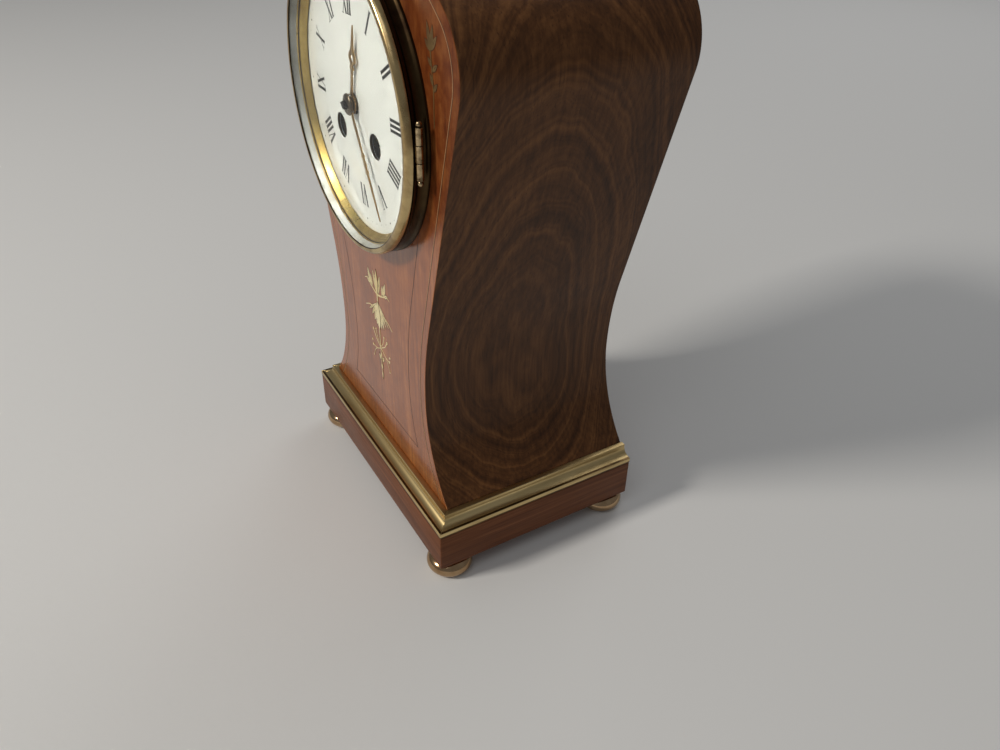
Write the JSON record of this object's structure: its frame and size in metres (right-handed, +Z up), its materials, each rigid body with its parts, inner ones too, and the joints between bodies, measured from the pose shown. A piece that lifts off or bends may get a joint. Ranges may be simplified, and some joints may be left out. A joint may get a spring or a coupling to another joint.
{
  "type": "balloon mantel clock",
  "caption": "Balloon-shaped mahogany mantel clock with floral inlay, hinged brass bezel, white Roman dial, brass-moulded plinth on bun feet and a striking pendulum movement",
  "frame": {"origin": "on the table plane under the middle of the clock's bounding box", "axes": "+Z up, the dial faces -Y, +X to the right seen from the front"},
  "size_m": [0.1582, 0.113, 0.2721],
  "materials": {
    "mahogany": "french polished mahogany, reddish",
    "mahogany_side": "french polished mahogany, dark",
    "brass": "aged polished brass",
    "gilt": "gilt, bright",
    "silvered": "silvered brass",
    "steel": "polished steel",
    "enamel": "white enamel",
    "glass": "clear"
  },
  "bodies": {
    "case": {"front_board": "mahogany", "plinth": "mahogany", "back_board": "mahogany_side", "case_wrap": "mahogany_side", "case_floor": "mahogany_side", "moulding_front": "brass", "moulding_left": "brass", "moulding_right": "brass", "foot_front_left": "brass", "foot_front_right": "brass", "foot_back_left": "brass", "foot_back_right": "brass", "bezel_seat": "brass", "bezel_hinge_pin": "brass", "front_plate": "brass", "back_plate": "brass", "bell_stand": "brass", "bell_nut": "brass", "suspension_cock": "brass", "back_ring": "brass", "door_hinge_pin": "brass", "sight_ring": "gilt", "bell": "silvered", "suspension_spring": "steel", "strap_left": "steel", "strap_right": "steel", "strap_screw_left": "steel", "strap_screw_right": "steel", "dial": "enamel"},
    "bezel": {"bezel_ring": "brass", "bezel_glass": "glass", "glass_slip": "silvered"},
    "back_door": {"back_door": "brass", "door_knob": "brass"},
    "minute": {"minute_hand": "gilt", "cannon_pinion": "steel", "hand_collet": "brass", "hand_pin": "steel", "centre_wheel": "brass"},
    "minute_wheel": {"minute_wheel": "brass"},
    "hour": {"hour_hand": "gilt", "hour_wheel": "brass"},
    "third": {"third_wheel": "brass"},
    "escape": {"escape_wheel": "brass"},
    "intermediate": {"intermediate_wheel": "brass"},
    "going_barrel": {"going_barrel": "brass"},
    "strike_second": {"strike_second_wheel": "brass", "count_wheel": "brass"},
    "strike_barrel": {"strike_barrel": "brass"},
    "pin_wheel": {"pin_wheel": "brass"},
    "fly": {"fly": "brass"},
    "going_winder": {"going_winder": "steel"},
    "strike_winder": {"strike_winder": "steel"},
    "going_click": {"going_click": "steel"},
    "strike_click": {"strike_click": "steel"},
    "pallets": {"pallets": "steel"},
    "pendulum": {"pendulum_rod": "steel", "pendulum_bob": "brass"},
    "rating_nut": {"rating_nut": "brass"},
    "hammer": {"hammer": "steel"}
  },
  "joints": [
    {"name": "bezel_hinge", "type": "hinge", "parent": "case", "child": "bezel", "pos_m": [0.0593, -0.0518, 0.2009], "axis": [0, 0, 1], "range_deg": [0, 135]},
    {"name": "back_door_hinge", "type": "hinge", "parent": "case", "child": "back_door", "pos_m": [-0.0525, 0.0517, 0.2009], "axis": [0, 0, 1], "range_deg": [0, 110]},
    {"name": "minute_hand_turn", "type": "hinge", "parent": "case", "child": "minute", "pos_m": [0, -0.04695, 0.2009], "axis": [0, 1, 0], "continuous": true},
    {"name": "minute_wheel_turn", "type": "hinge", "parent": "case", "child": "minute_wheel", "pos_m": [0, -0.03995, 0.2129], "axis": [0, 1, 0], "continuous": true},
    {"name": "hour_hand_turn", "type": "hinge", "parent": "case", "child": "hour", "pos_m": [0, -0.04695, 0.2009], "axis": [0, 1, 0], "continuous": true},
    {"name": "third_wheel_turn", "type": "hinge", "parent": "case", "child": "third", "pos_m": [-0.00489, -0.02095, 0.21434], "axis": [0, 1, 0], "continuous": true},
    {"name": "escape_wheel_turn", "type": "hinge", "parent": "case", "child": "escape", "pos_m": [0, -0.02095, 0.2266], "axis": [0, 1, 0], "continuous": true},
    {"name": "intermediate_wheel_turn", "type": "hinge", "parent": "case", "child": "intermediate", "pos_m": [0.01336, -0.02095, 0.20601], "axis": [0, 1, 0], "continuous": true},
    {"name": "going_barrel_turn", "type": "hinge", "parent": "case", "child": "going_barrel", "pos_m": [0.0166, -0.02095, 0.1883], "axis": [0, 1, 0], "continuous": true},
    {"name": "strike_train_turn", "type": "hinge", "parent": "case", "child": "strike_second", "pos_m": [-0.01336, -0.02095, 0.20601], "axis": [0, 1, 0], "continuous": true},
    {"name": "strike_barrel_turn", "type": "hinge", "parent": "case", "child": "strike_barrel", "pos_m": [-0.0166, -0.02095, 0.1883], "axis": [0, 1, 0], "continuous": true},
    {"name": "pin_wheel_turn", "type": "hinge", "parent": "case", "child": "pin_wheel", "pos_m": [-0.02479, -0.02095, 0.21261], "axis": [0, 1, 0], "continuous": true},
    {"name": "fly_turn", "type": "hinge", "parent": "case", "child": "fly", "pos_m": [-0.01929, -0.02095, 0.22213], "axis": [0, 1, 0], "continuous": true},
    {"name": "going_winding", "type": "hinge", "parent": "case", "child": "going_winder", "pos_m": [0.0166, -0.02095, 0.1883], "axis": [0, 1, 0], "continuous": true},
    {"name": "strike_winding", "type": "hinge", "parent": "case", "child": "strike_winder", "pos_m": [-0.0166, -0.02095, 0.1883], "axis": [0, 1, 0], "continuous": true},
    {"name": "going_click_pivot", "type": "hinge", "parent": "case", "child": "going_click", "pos_m": [0.02108, -0.03895, 0.17869], "axis": [0, 1, 0], "range_deg": [-12, 0], "stiffness_Nm_per_rad": 0.002},
    {"name": "strike_click_pivot", "type": "hinge", "parent": "case", "child": "strike_click", "pos_m": [-0.02108, -0.03895, 0.17869], "axis": [0, 1, 0], "range_deg": [0, 12], "stiffness_Nm_per_rad": 0.002},
    {"name": "pendulum_swing", "type": "hinge", "parent": "case", "child": "pendulum", "pos_m": [0, 0.00945, 0.23791], "axis": [0, 1, 0], "range_deg": [-3, 3]},
    {"name": "pallet_rock", "type": "hinge", "parent": "case", "child": "pallets", "pos_m": [0, -0.01695, 0.23791], "axis": [0, 1, 0], "range_deg": [-3, 3]},
    {"name": "rating_nut_turn", "type": "hinge", "parent": "pendulum", "child": "rating_nut", "pos_m": [0, 0.00945, 0.10636], "axis": [0, 0, 1], "continuous": true},
    {"name": "hammer_blow", "type": "hinge", "parent": "case", "child": "hammer", "pos_m": [-0.036, 0.00305, 0.2049], "axis": [0, 1, 0], "range_deg": [-14, 3], "stiffness_Nm_per_rad": 0.02}
  ],
  "couplings": [
    {"joint": "minute_wheel_turn", "follows": "minute_hand_turn", "ratio": -0.33333},
    {"joint": "hour_hand_turn", "follows": "minute_hand_turn", "ratio": 0.083333},
    {"joint": "third_wheel_turn", "follows": "minute_hand_turn", "ratio": -3.3333},
    {"joint": "escape_wheel_turn", "follows": "minute_hand_turn", "ratio": 10},
    {"joint": "intermediate_wheel_turn", "follows": "minute_hand_turn", "ratio": -0.3},
    {"joint": "going_barrel_turn", "follows": "minute_hand_turn", "ratio": 0.075},
    {"joint": "strike_barrel_turn", "follows": "strike_train_turn", "ratio": -0.25},
    {"joint": "pin_wheel_turn", "follows": "strike_train_turn", "ratio": -3},
    {"joint": "fly_turn", "follows": "strike_train_turn", "ratio": 7},
    {"joint": "pallet_rock", "follows": "pendulum_swing", "ratio": 1}
  ]
}
